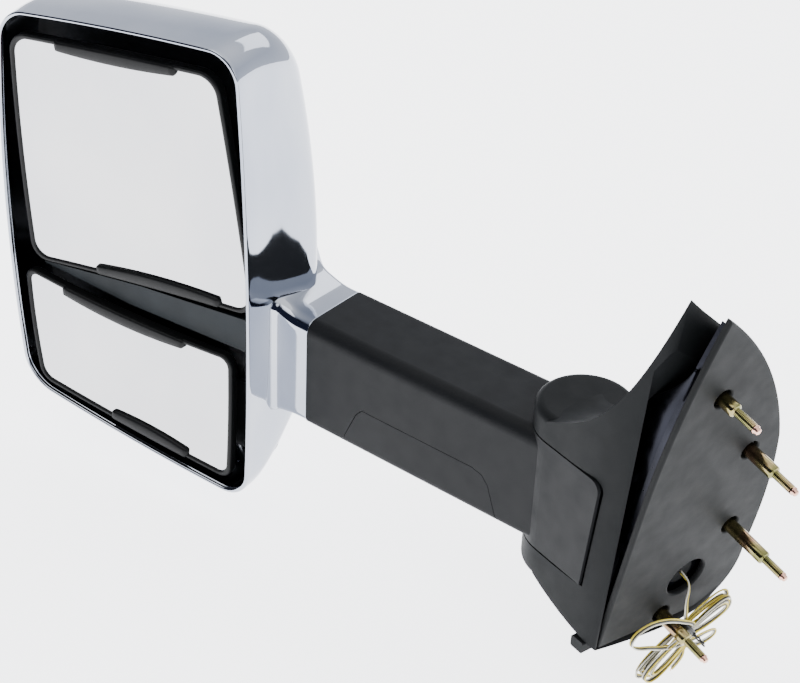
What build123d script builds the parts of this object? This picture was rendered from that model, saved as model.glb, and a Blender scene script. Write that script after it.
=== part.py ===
from build123d import *
from math import atan, cos, degrees, pi, radians, sin, tan
import os

# Side mirror of a truck, left-hand side, in millimetres.
# +X points inboard to the door, +Y to the front of the vehicle, +Z up.
# The origin is the centre of the gasket face that seats on the door.

# ---- driving dimensions ----
DOOR_TIP = 10.0            # degrees that the door skin leans from vertical
ARM_SWEEP = 15.0           # degrees that the arm runs to the rear of straight outboard
GLASS_YAW = 6.0            # degrees that the head turns to the driver on the arm
PIVOT_X, PIVOT_Y = -101.5, -45.0
ARM_W, ARM_H = 72.0, 102.0
ARM_LEN = 254.0            # fold axis to the chrome collar
ARM_WALL = 3.0
TUBE_Y = (-25.0, 17.0)     # rear and front faces of the inner tube, in the arm's frame
TUBE_Z = (-90.0, -12.0)
TUBE_WALL = 3.0
BARREL_R = 40.0            # outside of the plastic round the fold axis
CAP_TOP, LIP_BOTTOM = 26.0, -135.0
COVER_WALL = 3.0
RIM_X, RIM_SLOPE = -19.0, 0.09
BOLT_R = 8.0               # fold pivot bolt
RUN_GAP = 0.05             # radial clearance of every running fit
GASKET_T, LIP_T = 4.0, 3.0
STUD_R, SLEEVE_R = 3.6, 5.8
STUD_PLACES = ((-24.0, 88.0, 38.0), (31.0, 10.0, 52.0), (41.0, -79.0, 65.0), (-8.0, -160.0, 56.0))
PIN_LEN = 24.0
WIRE_HOLE = (8.0, -124.0, 19.0)
HEAD_DEPTH = 100.0
HEAD_WALL = 3.0
RIM_S, RIM_W = -291.5, -67.6   # inboard end of the glass-side rim, in the arm's frame
GLASS_T = 2.2
CORD_D = 3.6
PLATE_BACK, PLATE_FRONT = -15.0, -9.0   # casting plate, measured along the door normal
EAR_TOP = (3.0, 10.0)          # the casting's two ears that hold the fold pivot
EAR_LOW = (-119.0, -107.0)
EAR_R = 24.0
GROMMET_R = 9.0
BOSS_PLACES = ((-34.0, 62.0), (30.0, 46.0), (34.0, -118.0), (-30.0, -134.0))
SCREW_R, PILOT_R = 2.2, 1.8
BARREL_Z = (-104.3, 2.7)       # the arm's hinge barrel between the ears
SHELL_Z = (-104.0, 0.0)
FLAP_EDGE_TOP, FLAP_EDGE_LOW = 64.0, 54.0
FLAP_R, FLAP_T = 9.0, 3.0
FRONT_FLAP_X = 33.2
WINDOW_Z = (-105.5, 1.5)
SWING_X = 34.0             # the front wall is open this far past the axis, for folding forwards
COLLAR_END = -288.0
TUBE_END = -312.0
FLOOR_DEPTH, FLOOR_T = 51.0, 2.5
DIVIDER_DEPTH = (19.5, 33.5)
CASE_HALF, CASE_R, CASE_FRONT = 44.0, 16.0, 44.0     # power unit behind the upper mirror
FOOT_R = 24.0
UPPER_SPOT = (-137.0, 88.0, 12.5)      # s, z and depth of the glass centre
LOWER_SPOT = (-145.0, -106.0, 9.0)
PIVOT_BACK = 16.0                      # gimbal centre behind the glass face
PIN_R = 2.5
FRAME_LIP = 4.6
BRACKET_DEPTH = (60.0, 64.0)
HANK_W = (13.0, 27.0)

os.makedirs("parts", exist_ok=True)

# ---- frames ----
ARM = Pos(PIVOT_X, PIVOT_Y, 0) * Rot(0, 0, ARM_SWEEP)
HEAD = ARM * Pos(RIM_S, RIM_W, 0) * Rot(0, 0, GLASS_YAW)
DOOR = Plane(origin=(0, 0, 0), x_dir=(0, 1, 0),
             z_dir=(cos(radians(DOOR_TIP)), 0, -sin(radians(DOOR_TIP)))).location
PIVOT = Pos(PIVOT_X, PIVOT_Y, 0)

PARTS = {}


def keep(name, shape):
    """Store a finished sub-part under its node name."""
    solids = shape.solids()
    PARTS[name] = solids[0] if len(solids) == 1 else Compound(children=list(solids))


def block(x0, x1, y0, y1, z0, z1):
    """A box between two corners."""
    size = (x1 - x0, y1 - y0, z1 - z0)
    return Pos((x0 + x1) / 2, (y0 + y1) / 2, (z0 + z1) / 2) * Box(*size)


def post(r, z0, z1, x=0.0, y=0.0):
    """An upright cylinder from z0 to z1."""
    return Pos(x, y, (z0 + z1) / 2) * Cylinder(r, z1 - z0)


def hexagon(across_flats, z0, z1, x=0.0, y=0.0):
    """An upright hexagonal prism from z0 to z1."""
    face = RegularPolygon(across_flats / 2, 6, major_radius=False)
    return Pos(x, y, z0) * extrude(face, z1 - z0)


def turned(points):
    """A solid of revolution about Z from an (r, z) outline."""
    return revolve(Plane.XZ * make_face(Polyline(*points, close=True)), Axis.Z)


def joined(shapes):
    """One group of separate solids."""
    return Compound(children=[s for shape in shapes for s in shape.solids()])


# ---- base: casting, cover, gasket, studs ----
def gasket_outline(inset=0.0):
    """Sail-shaped outline of the door pad in the door plane, drawn inwards by inset."""
    tip = (-44 + inset, 171 - 1.6 * inset)
    front_top = (63 - inset, 13)
    front_low = (72 - inset, -122)
    foot = (46 - inset, -176 + inset)
    heel = (-74 + inset, -165 + inset)
    rear = (-72 + inset, -20)
    edges = [ThreePointArc(tip, (26 - inset, 90 - 0.5 * inset), front_top),
             ThreePointArc(front_top, (74 - inset, -60), front_low),
             ThreePointArc(front_low, (65 - inset, -157 + 0.4 * inset), foot),
             Line(foot, heel), Line(heel, rear),
             ThreePointArc(rear, (-62.5 + inset, 88), tip)]
    return make_face(edges)


def door_hole(u, v, r, w0, w1):
    """A round cutter normal to the door plane."""
    return DOOR * post(r, w0, w1, u, v)


def make_gasket():
    body = DOOR * extrude(gasket_outline(), -GASKET_T)
    lip = DOOR * Pos(0, 0, -GASKET_T) * extrude(gasket_outline() - gasket_outline(4.0), -LIP_T)
    gasket = body + lip
    for u, v, _ in STUD_PLACES:
        gasket -= door_hole(u, v, SLEEVE_R + 2.4, -20, 5)
    gasket -= door_hole(*WIRE_HOLE, -20, 5)
    keep("base_gasket", gasket)


def make_studs():
    """Four shouldered studs through the casting plate, each with a flange behind it."""
    for index, (u, v, reach) in enumerate(STUD_PLACES, start=1):
        shoulder = reach - PIN_LEN
        tip = 3.0
        profile = [(0, PLATE_BACK - 3.5), (SLEEVE_R + 1.0, PLATE_BACK - 3.5),
                   (SLEEVE_R + 1.0, PLATE_BACK), (SLEEVE_R - 1.3, PLATE_BACK),
                   (SLEEVE_R - 1.3, PLATE_FRONT), (SLEEVE_R, PLATE_FRONT),
                   (SLEEVE_R, shoulder - 1.2), (SLEEVE_R - 1.2, shoulder), (STUD_R, shoulder),
                   (STUD_R, reach - tip), (STUD_R - 0.9, reach - tip + 0.6),
                   (STUD_R - 0.9, reach - 0.5), (STUD_R - 1.4, reach), (0, reach)]
        keep(f"door_stud_{index}", DOOR * Pos(u, v, 0) * turned(profile))


def ear(z0, z1):
    """Arm of the casting that reaches out to the fold axis."""
    disc = post(EAR_R, z0, z1)
    web = block(0, 78, -20, 26, z0, z1)
    return PIVOT * (disc + web)


def make_casting():
    plate = DOOR * Pos(0, 0, PLATE_BACK) * extrude(gasket_outline(9.0), PLATE_FRONT - PLATE_BACK)
    beyond = DOOR * Pos(0, 0, PLATE_FRONT) * Pos(0, 0, 60) * Box(400, 500, 120)
    casting = plate + (ear(*EAR_TOP) - beyond) + (ear(*EAR_LOW) - beyond)
    rib_top = PIVOT * block(30, 90, 0, 6, EAR_TOP[1], 60) - beyond
    rib_top -= PIVOT * Pos(30, 3, 60) * Rot(90, 0, 0) * Cylinder(45, 12)
    rib_low = PIVOT * block(20, 78, 0, 6, -150, EAR_LOW[0]) - beyond
    rib_low -= PIVOT * Pos(20, 3, -150) * Rot(90, 0, 0) * Cylinder(30, 12)
    casting = casting + rib_top + rib_low
    casting -= PIVOT * post(BOLT_R, -130, 20)
    for u, v, _ in STUD_PLACES:
        casting -= door_hole(u, v, SLEEVE_R - 1.3, -20, 5)
    casting -= door_hole(WIRE_HOLE[0], WIRE_HOLE[1], GROMMET_R, -20, 5)
    for u, v in BOSS_PLACES:
        casting -= door_hole(u, v, SCREW_R, PLATE_BACK - 1, PLATE_FRONT + 1)
    past_rim = rim_plane(0.6).location * Pos(0, 0, 60) * Box(400, 500, 120)
    room = cover_body(COVER_WALL + 0.4, 6.0) + past_rim
    casting = casting & room
    keep("base_casting", max(casting.solids(), key=lambda s: s.volume))


def make_grommet():
    body = DOOR * post(GROMMET_R, PLATE_BACK - 2, PLATE_FRONT + 2, WIRE_HOLE[0], WIRE_HOLE[1])
    collar = DOOR * post(GROMMET_R + 2.5, PLATE_FRONT, PLATE_FRONT + 2, WIRE_HOLE[0], WIRE_HOLE[1])
    keep("wire_grommet", body + collar)


# Sections of the base cover: x from the fold axis, then (y, z) corners, both from the axis.
COVER_SECTIONS = (
    (0.0, ((-40, -130), (-40, 20), (-24, 24.5), (20, 23.5),
           (39, 15), (40, -60), (38, -130), (0, -133))),
    (28.0, ((-40, -143), (-40, 36), (-18, 32), (16, 26),
            (50, 12), (55, -60), (48, -136), (5, -146))),
    (56.0, ((-38, -154), (-38, 60), (-16, 52), (24, 40),
            (68, 16), (82, -64), (68, -152), (14, -161))),
)


def rim_plane(shift=0.0):
    tilt = atan(RIM_SLOPE)
    return Plane(origin=(RIM_X + shift, 0, 0), x_dir=(0, 1, 0), z_dir=(cos(tilt), 0, -sin(tilt)))


RIM_POINTS = ((-73, -165), (-52, 172), (-38, 158), (-8, 130),
              (62, 6), (71, -72), (48, -170), (-8, -176))


def inset_points(points, distance):
    """Move each corner of an outline inwards, along the bisector of its two sides."""
    moved = []
    for i, here in enumerate(points):
        before = Vector(*points[i - 1])
        after = Vector(*points[(i + 1) % len(points)])
        centre = Vector(*here)
        first = (centre - before).normalized()
        second = (after - centre).normalized()
        normal_a = Vector(first.Y, -first.X)
        normal_b = Vector(second.Y, -second.X)
        bisector = (normal_a + normal_b).normalized()
        stretch = distance / max(0.55, bisector.dot(normal_a))
        spot = centre + bisector * stretch
        moved.append((spot.X, spot.Y))
    return moved


def section_face(points):
    """Closed outline: a straight rear side, then one smooth curve round the rest."""
    heel, crest = points[0], points[1]
    return make_face([Line(heel, crest), Spline(*points[1:], heel)])


def cover_body(inset, overrun):
    """Cover without its window: barrel round the fold axis, flaring to the rim."""
    faces = []
    for x, points in COVER_SECTIONS:
        plane = Plane(origin=(PIVOT_X + x, PIVOT_Y, 0), x_dir=(0, 1, 0), z_dir=(1, 0, 0))
        faces.append(plane.location * section_face(inset_points(points, inset)))
    rim = rim_plane(overrun)
    faces.append(rim.location * section_face(inset_points(RIM_POINTS, inset)))
    flare = loft(faces)
    barrel = PIVOT * post(BARREL_R - inset, LIP_BOTTOM + 1.5 + inset, CAP_TOP - 1.5 - inset)
    dome = fillet(barrel.edges().filter_by(GeomType.CIRCLE), 7.0)
    return flare + dome


def flap_face(corners, radius):
    """Outline of the flap in side view, with its top inboard corner rounded."""
    face = Plane.XZ * make_face(Polyline(*corners, close=True))
    top = [v for v in face.vertices() if v.X > 20 and v.Z > -50]
    return fillet(top, radius)


def cover_bosses():
    """Screw posts inside the cover that reach back to the casting plate."""
    bosses = [door_hole(u, v, 5.0, -80, PLATE_BACK) for u, v in BOSS_PLACES]
    holes = [door_hole(u, v, PILOT_R, PLATE_BACK - 12, PLATE_BACK) for u, v in BOSS_PLACES]
    return bosses, holes


def make_cover():
    cover = cover_body(0.0, 0.0) - cover_body(COVER_WALL, 6.0)
    low, high = WINDOW_Z
    arm_window = PIVOT * (block(-60, 4, -60, 0, low, high) + block(-60, SWING_X, 0, 70, low, high))
    corners = ((0, low), (FLAP_EDGE_LOW + 2, low), (FLAP_EDGE_TOP + 2, high), (0, high))
    flap_window = PIVOT * Pos(0, -20, 0) * extrude(flap_face(corners, FLAP_R + 2), 40)
    bosses, holes = cover_bosses()
    outside = cover_body(0.5, 6.0)
    for boss in bosses:
        cover += (boss & outside)
    for hole in holes:
        cover -= hole
    low_u, low_v, _ = STUD_PLACES[3]
    cover -= door_hole(low_u, low_v, SLEEVE_R + 1.6, -30, 0)
    cover = cover - arm_window - flap_window
    keep("base_cover", max(cover.solids(), key=lambda s: s.volume))


def make_foot():
    """Small locating foot under the cover's heel."""
    foot = block(-50, -36, -126 + 42, -126 + 60, -169, -158)
    foot = fillet(foot.edges().filter_by(Axis.Y), 2.0) - cover_body(-0.3, 3.0)
    keep("foot_clip", max(foot.solids(), key=lambda s: -s.center().Z))


def make_pivot():
    head = hexagon(24, EAR_TOP[1], EAR_TOP[1] + 4.5)
    shank = post(BOLT_R - RUN_GAP, -130, EAR_TOP[1])
    keep("pivot_bolt", PIVOT * (head + shank))
    washer = post(17, EAR_LOW[0] - 2, EAR_LOW[0]) - post(BOLT_R, -130, 0)
    keep("pivot_washer", PIVOT * washer)
    cones = []
    for k in range(2):
        z = EAR_LOW[0] - 2 - 3.0 * k
        rise = -1.0 if k % 2 else 1.0
        inner = z - 1.5 + rise * 0.5
        outer = z - 1.5 - rise * 0.5
        cones.append(turned(((BOLT_R, inner - 0.8), (15, outer - 0.8), (15, outer + 0.8),
                             (BOLT_R, inner + 0.8))))
    keep("spring_washers", PIVOT * joined(cones))
    nut = hexagon(22, EAR_LOW[0] - 11, EAR_LOW[0] - 8.2) - post(BOLT_R, -135, 0)
    keep("pivot_nut", PIVOT * nut)
    ring = post(22, -106.9, -104.6) - post(BOLT_R, -110, 0)
    for k in range(4):
        notch = Pos(0, 0, -104.6) * Rot(0, 0, 45 + 90 * k) * Pos(19, 0, 0) * Rot(0, 90, 0)
        ring -= notch * Cylinder(1.6, 12)
    keep("detent_ring", PIVOT * ring)


def make_cover_screws():
    """Screws through the casting plate into the cover's posts."""
    screws = []
    for u, v in BOSS_PLACES:
        shaft = post(PILOT_R, PLATE_BACK - 11, PLATE_FRONT, u, v)
        head = post(4.2, PLATE_FRONT, PLATE_FRONT + 2.2, u, v)
        screws.append(DOOR * (shaft + head))
    keep("cover_screws", joined(screws))


# ---- arm: barrel, tube, shell, covers ----
def tube_core(x0, x1, gap):
    """Block that fills the inside of the arm tube, smaller all round by gap."""
    inner = TUBE_WALL + gap
    return block(x0, x1, TUBE_Y[0] + inner, TUBE_Y[1] - inner, TUBE_Z[0] + inner, TUBE_Z[1] - inner)


def make_barrel():
    low, high = BARREL_Z
    boss = post(25, low, high)
    stub = tube_core(-96, -10, 0.1)
    barrel = boss + stub - post(BOLT_R, low - 5, high + 5)
    keep("hinge_barrel", ARM * barrel)


def make_arm_tube():
    outer = block(TUBE_END, -46, *TUBE_Y, *TUBE_Z)
    tube = fillet(outer.edges().filter_by(Axis.X), 5.0)
    tube -= tube_core(-330, -40, 0.0)
    keep("arm_tube", ARM * tube)


def make_clamp_bolts():
    bolts = []
    for x in (-58, -84):
        for z in (-70, -32):
            head = RegularPolygon(5, 6, major_radius=False)
            bolts.append(Pos(x, TUBE_Y[0], z) * Rot(90, 0, 0) * extrude(head, 3.5))
    keep("tube_clamp_bolts", ARM * joined(bolts))


ACCESS = ((-215, -104), (-199, -67), (-193, -60), (-78, -60), (-68, -63), (-62, -70), (-50, -104))


def access_prism(grow, y0, y1):
    face = Plane.XZ * offset(make_face(Polyline(*ACCESS, close=True)), grow)
    return Pos(0, y1, 0) * extrude(face, y1 - y0)


def arm_section(inset):
    """Square-cornered section of the arm."""
    half = ARM_W / 2 - inset
    return Plane.YZ * make_face(Polyline((-half, -ARM_H + inset), (half, -ARM_H + inset),
                                         (half, -inset), (-half, -inset), close=True))


def arm_prism(inset, x0, x1):
    """Arm solid between two stations, its rear top edge rounded most."""
    body = Pos(x0, 0, 0) * extrude(arm_section(inset), x1 - x0)
    soft = body.edges().filter_by(Axis.X).group_by(Axis.Z)[-1].sort_by(Axis.Y)[0]
    body = fillet(soft, 12.0 - inset)
    hard = [e for e in body.edges().filter_by(Axis.X)
            if e.center().Y > 20 or e.center().Z < 10 - ARM_H]
    return fillet(hard, 6.0 - inset)


def knuckle_shell(inset):
    """Round shell about the fold axis."""
    return post(BARREL_R - inset, SHELL_Z[0] + inset, SHELL_Z[1] - inset)


def arm_flaps():
    """Flat flaps square to the car that close the base cover's rear and front windows."""
    low, high = SHELL_Z
    corners = ((0, low), (FLAP_EDGE_LOW, low), (FLAP_EDGE_TOP, high), (0, high))
    rear = Pos(0, -BARREL_R + FLAP_T, 0) * extrude(flap_face(corners, FLAP_R), FLAP_T)
    front = block(0, FRONT_FLAP_X, BARREL_R - 0.5 - FLAP_T, BARREL_R - 0.5, low, high)
    return Rot(0, 0, -ARM_SWEEP) * (rear + front)


def make_arm_shell():
    outer = arm_prism(0.0, -ARM_LEN, -10) + knuckle_shell(0.0)
    inner = arm_prism(ARM_WALL, -ARM_LEN - 2.0, -10) + knuckle_shell(ARM_WALL)
    shell = outer - inner - post(EAR_R + 2, -110, 10)
    shell += arm_flaps()
    shell -= access_prism(0.6, -60, -20)
    keep("arm_shell", ARM * shell)


def make_access_cover():
    skin = arm_prism(0.0, -ARM_LEN, -10) - arm_prism(2.4, -ARM_LEN - 2, -5)
    keep("arm_access_cover", ARM * (skin & access_prism(0.0, -60, -20)))


# ---- head: shell, neck, liner, bracket ----
# Stations of the head: depth, how far its (top, outboard, bottom, inboard) sides draw in,
# how far its inboard side bows out, and its corner radius.
HEAD_STATIONS = (
    (0.0, (0.0, 0.0, 0.0, 0.0), 7.0, 27.0),
    (26.0, (-2.0, -2.0, 0.0, -0.5), 8.0, 27.0),
    (54.0, (0.0, 0.0, 9.0, 0.0), 17.0, 29.0),
    (76.0, (7.0, 7.0, 24.0, 4.0), 26.0, 32.0),
    (91.0, (18.0, 18.0, 42.0, 14.0), 24.0, 36.0),
    (HEAD_DEPTH, (36.0, 36.0, 60.0, 33.0), 18.0, 42.0),
)
HEAD_CORNERS = ((-10, 240), (-256, 212), (-256, -160), (-4, -192))
HEAD_BOWS = (3.0, 13.0, 4.0)      # how far the top, outboard and bottom sides bow out


def drawn_in(corners, distances):
    """Four-sided outline with each side moved inwards by its own distance."""
    moved = []
    for i, here in enumerate(corners):
        before = corners[i - 1]
        after = corners[(i + 1) % 4]
        one = Vector(before[1] - here[1], here[0] - before[0]).normalized()
        two = Vector(here[1] - after[1], after[0] - here[0]).normalized()
        spread = one.X * two.Y - one.Y * two.X
        d_one, d_two = distances[i - 1], distances[i]
        moved.append((here[0] + (d_one * two.Y - d_two * one.Y) / spread,
                      here[1] + (d_two * one.X - d_one * two.X) / spread))
    return moved


def bowed_outline(corners, bows, insets, radius):
    """Four bowed sides with rounded corners, each side moved inwards by its inset."""
    spots = drawn_in(corners, insets)
    sides = []
    for i, start in enumerate(spots):
        end = spots[(i + 1) % 4]
        run = Vector(end[0] - start[0], end[1] - start[1])
        outward = Vector(run.Y, -run.X).normalized()
        middle = Vector((start[0] + end[0]) / 2, (start[1] + end[1]) / 2) + outward * bows[i]
        sides.append(ThreePointArc(start, (middle.X, middle.Y), end))
    face = make_face(sides)
    return fillet(face.vertices(), radius)


def upright(face, depth):
    """Stand a drawn (s, z) face up in the head's frame, at a depth behind the rim."""
    return Pos(0, depth, 0) * Rot(90, 0, 0) * face


def head_solid(inset, back_off, front):
    """Lofted bulk of the head, its walls moved inwards by inset."""
    faces = []
    for depth, pulls, bow, radius in HEAD_STATIONS:
        place = front if depth == 0.0 else depth - back_off * depth / HEAD_DEPTH
        insets = [pull + inset for pull in pulls]
        outline = bowed_outline(HEAD_CORNERS, (*HEAD_BOWS, bow), insets, radius - 0.6 * inset)
        faces.append(upright(outline, place))
    return loft(faces)


# Stations along the arm: place, growth of the section, place of its front face.
COLLAR_FLARE = ((-ARM_LEN - 0.4, 0.0, 36.0), (-268.0, 0.2, 36.0), (-278.0, 2.0, 36.0),
                (COLLAR_END, 5.0, 35.5))
NECK_FLARE = ((COLLAR_END, 5.0, 35.5), (-294.0, 9.5, 34.5), (-301.0, 22.0, 32.0),
              (-307.0, 36.0, 28.0), (-314.0, 50.0, 22.0))


def neck_face(x, grow, front):
    rear = -ARM_W / 2 - 0.25 * grow
    top, bottom = grow, -ARM_H - 0.5 * grow
    face = make_face(Polyline((rear, bottom), (front, bottom), (front, top), (rear, top), close=True))
    face = fillet(face.vertices(), 9.0 + 0.2 * grow)
    return Pos(x, 0, 0) * Plane.YZ.location * face


def make_head_shell():
    outer = HEAD * head_solid(0.0, 0.0, 0.0)
    neck = ARM * loft([neck_face(*station) for station in NECK_FLARE])
    shell = outer + neck - HEAD * head_solid(HEAD_WALL, HEAD_WALL, -1.0)
    shell -= ARM * arm_prism(ARM_WALL + 0.2, -300, -280)
    shell -= ARM * tube_core(-340, -295, -4.0)
    keep("head_shell", max(shell.solids(), key=lambda s: s.volume))


def make_collar():
    """Chrome sleeve between the head's neck and the black arm."""
    sleeve = loft([neck_face(*station) for station in COLLAR_FLARE])
    ring = ARM * (sleeve - arm_prism(ARM_WALL, -300, -240)) - HEAD * head_solid(-0.1, 0.0, -0.1)
    keep("neck_collar", max(ring.solids(), key=lambda s: s.volume))


def make_liner():
    """Black floor behind the mirrors, open round each pivot and for the arm tube."""
    slab = block(-300, 40, FLOOR_DEPTH - FLOOR_T, FLOOR_DEPTH, -250, 280)
    floor = head_solid(HEAD_WALL + 0.8, HEAD_WALL, -1.0) & slab
    s, z, _ = UPPER_SPOT
    case = block(s - CASE_HALF - 1, s + CASE_HALF + 1, 40, 60, z - CASE_HALF - 1, z + CASE_HALF + 1)
    floor -= fillet(case.edges().filter_by(Axis.Y), CASE_R)
    s, z, _ = LOWER_SPOT
    floor -= Pos(s, FLOOR_DEPTH, z) * Rot(90, 0, 0) * Cylinder(FOOT_R + 2, 20)
    floor -= block(-64, 30, 40, 60, -104, 3)
    keep("head_liner", HEAD * floor)


DIVIDER = ((-242, -36.2), (-130, -22.5), (-12, -14), (-9, -60), (-11, -172), (-18, -174),
           (-18, -47), (-143, -46), (-242, -37.8))
DIVIDER_POSTS = ((-130.0, -35.0), (-80.0, -33.0), (-14.0, -110.0), (-14.0, -160.0))


def make_divider():
    """Raised panel between the two mirrors and beside the lower one."""
    front, back = DIVIDER_DEPTH
    panel = extrude(upright(make_face(Polyline(*DIVIDER, close=True)), back), back - front)
    for s, z in DIVIDER_POSTS:
        panel += Pos(s, 0, z) * Rot(90, 0, 0) * post(3.4, FLOOR_T - FLOOR_DEPTH, -front - 3)
    keep("divider_panel", HEAD * panel)


# ---- mirrors ----
UPPER_OUTLINE = ((-36, 213), (-249, 193), (-250, -33), (-8, -9))
UPPER_BOWS = (1.0, 3.0, -2.5, 1.5)
LOWER_OUTLINE = ((-27, -53), (-257, -41), (-242, -155), (-26, -181))
LOWER_BOWS = (-5.0, 2.0, 2.0, 1.0)
UPPER = HEAD * Pos(UPPER_SPOT[0], UPPER_SPOT[2], UPPER_SPOT[1]) * Rot(0, 0, 2.0) * Rot(2.5, 0, 0)
LOWER = HEAD * Pos(LOWER_SPOT[0], LOWER_SPOT[2], LOWER_SPOT[1]) * Rot(0, 0, 1.0) * Rot(-3.0, 0, 0)
MIRRORS = {
    "upper": (UPPER, UPPER_SPOT, UPPER_OUTLINE, UPPER_BOWS, 18.0),
    "lower": (LOWER, LOWER_SPOT, LOWER_OUTLINE, LOWER_BOWS, 12.0),
}


def mirror_slab(which, inset, y0, y1):
    """A slab of a mirror's outline between two depths in the mirror's own frame."""
    _, spot, outline, bows, radius = MIRRORS[which]
    centred = [(s - spot[0], z - spot[1]) for s, z in outline]
    face = bowed_outline(centred, bows, [inset] * 4, radius - 0.6 * inset)
    return extrude(upright(face, y1), y1 - y0)


def retaining_tab(which, side):
    """Long raised strip on the frame's top or bottom lip that holds the glass."""
    _, spot, outline, _, _ = MIRRORS[which]
    right, left = (outline[0], outline[1]) if side == "top" else (outline[3], outline[2])
    tilt = degrees(atan((right[1] - left[1]) / (right[0] - left[0])))
    middle_s = (right[0] + left[0]) / 2 - spot[0] + 4
    middle_z = (right[1] + left[1]) / 2 - spot[1]
    inward = -1 if side == "top" else 1
    strip = Box(126, 4.0, 9.0)
    strip = fillet(strip.edges().filter_by(Axis.Y), 2.0)
    return Pos(middle_s, -2.2, middle_z + inward * 4.6) * Rot(0, -tilt, 0) * strip


def ears(along, reach_0, reach_1):
    """Two drilled lugs at plus and minus along one axis of the gimbal."""
    lugs = []
    for sign in (-1, 1):
        low, high = sorted((12.0 * sign, 17.0 * sign))
        if along == "z":
            lug = block(-6, 6, reach_0, reach_1, low, high) - post(PIN_R, low - 1, high + 1)
        else:
            pin_hole = Rot(0, 90, 0) * post(PIN_R, low - 1, high + 1)
            lug = block(low, high, reach_0, reach_1, -6, 6) - pin_hole
        lugs.append(lug)
    return lugs


def make_mirror(which):
    place = MIRRORS[which][0]
    frame = mirror_slab(which, 0.0, -1.6, 7.0) - mirror_slab(which, FRAME_LIP, -3, 0.2)
    frame -= mirror_slab(which, 1.8, 0.0, 9.0)
    for side in ("top", "bottom"):
        tab = retaining_tab(which, side)
        frame += tab - block(-200, 200, 0, 10, -200, 200)
    keep(f"{which}_mirror_frame", place * frame)
    keep(f"{which}_glass", place * mirror_slab(which, 2.1, 0.0, GLASS_T))
    keep(f"{which}_heater_pad", place * mirror_slab(which, 8.0, GLASS_T, GLASS_T + 0.6))
    carrier = mirror_slab(which, 2.1, GLASS_T + 0.6, 6.0)
    for lug in ears("s", 5.0 - PIVOT_BACK - 1, 5.0):
        carrier += Pos(0, PIVOT_BACK, 0) * lug
    keep(f"{which}_carrier", place * carrier)
    pin = post(PIN_R - RUN_GAP, -16.5, 16.5)
    cross = Box(11, 11, 11) + pin + Rot(0, 90, 0) * pin
    keep(f"{which}_gimbal", place * Pos(0, PIVOT_BACK, 0) * cross)


def gimbal_post(which, radius, y1):
    """Fixed stalk with the two lugs that carry the gimbal's upright pin."""
    stalk = Pos(0, (9 + y1) / 2, 0) * Rot(90, 0, 0) * Cylinder(radius, y1 - 9)
    yoke = block(-6, 6, 9, 13, -17, 17)
    for lug in ears("z", -4.5, 10):
        yoke += lug
    return MIRRORS[which][0] * Pos(0, PIVOT_BACK, 0) * (stalk + yoke)


def make_bracket():
    front, back = BRACKET_DEPTH
    plate = block(-220, -44, front, back, -130, 156)
    plate = fillet(plate.edges().filter_by(Axis.Y), 14.0)
    for z in (30, -52):
        plate -= Pos(-180, front + 2, z) * Rot(90, 0, 0) * Cylinder(16, 10)
    rib = block(-205, -50, back, back + 10, -56, -46)
    stub = tube_core(-334, -262, 0.1) - tube_core(-340, -250, 6.0)
    bracket = HEAD * (plate + rib) + ARM * stub
    hub = HEAD * block(-60, -38, front - 10, back + 20, -88, -14)
    bracket = bracket + hub - ARM * tube_core(-313.2, -240, -4.0) + ARM * stub
    keep("head_bracket", max(bracket.solids(), key=lambda s: s.volume))


def make_bracket_bolts():
    bolts = []
    for x in (-270, -288):
        for z in (-70, -32):
            head = RegularPolygon(4.5, 6, major_radius=False)
            bolts.append(Pos(x, TUBE_Y[1], z) * Rot(-90, 0, 0) * extrude(head, 3.0))
    keep("bracket_bolts", ARM * joined(bolts))


def make_pivot_mounts():
    """Power unit behind the upper mirror and plain stalk behind the lower one."""
    front = BRACKET_DEPTH[0]
    beyond = HEAD * block(-300, 0, front, 90, -200, 250)
    s, z, _ = UPPER_SPOT
    case = block(s - CASE_HALF, s + CASE_HALF, CASE_FRONT, front, z - CASE_HALF, z + CASE_HALF)
    case = HEAD * fillet(case.edges().filter_by(Axis.Y), CASE_R)
    keep("upper_mirror_actuator", case + gimbal_post("upper", 11, 24) - beyond)
    s, z, _ = LOWER_SPOT
    foot = HEAD * (Pos(s, front - 3, z) * Rot(90, 0, 0) * Cylinder(FOOT_R, 6))
    keep("lower_mirror_stalk", foot + gimbal_post("lower", 11, 40) - beyond)


# ---- wiring ----
LEAD_ROUTE = ((8, -124, -7), (8, -124, 5), (-3, -132, 14), (-2, -145, 21), (3, -157, 20))
TAIL_ROUTE = ((8, -188, 20), (9, -198, 22), (5, -206, 23), (2, -214, 21))
HANK = ((0, -156), (20, -136), (38, -134), (48, -147), (43, -160), (30, -168), (43, -184),
        (42, -199), (28, -198), (12, -188), (-10, -206), (-30, -213), (-44, -203), (-40, -188),
        (-26, -172), (-50, -162), (-60, -146), (-52, -133), (-34, -138), (-14, -148))


def cord_tube(route):
    """Limp cord of straight runs joined by tangent arcs, drawn in the door frame."""
    points = [Vector(*p) for p in route]
    radii = []
    for before, here, after in zip(points, points[1:], points[2:]):
        turn = (here - before).get_angle(after - here)
        shorter = min((here - before).length, (after - here).length)
        radii.append(0.45 * shorter / tan(radians(turn) / 2))
    path = FilletPolyline(*points, radius=radii)
    tube = sweep(Plane(origin=path @ 0, z_dir=path % 0) * Circle(CORD_D / 2), path=path)
    ideal = path.length * pi * CORD_D ** 2 / 4
    print("radii", [round(r, 1) for r in radii], "length", round(path.length, 1),
          "volume share", round(tube.volume / ideal, 4))
    return DOOR * tube


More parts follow.
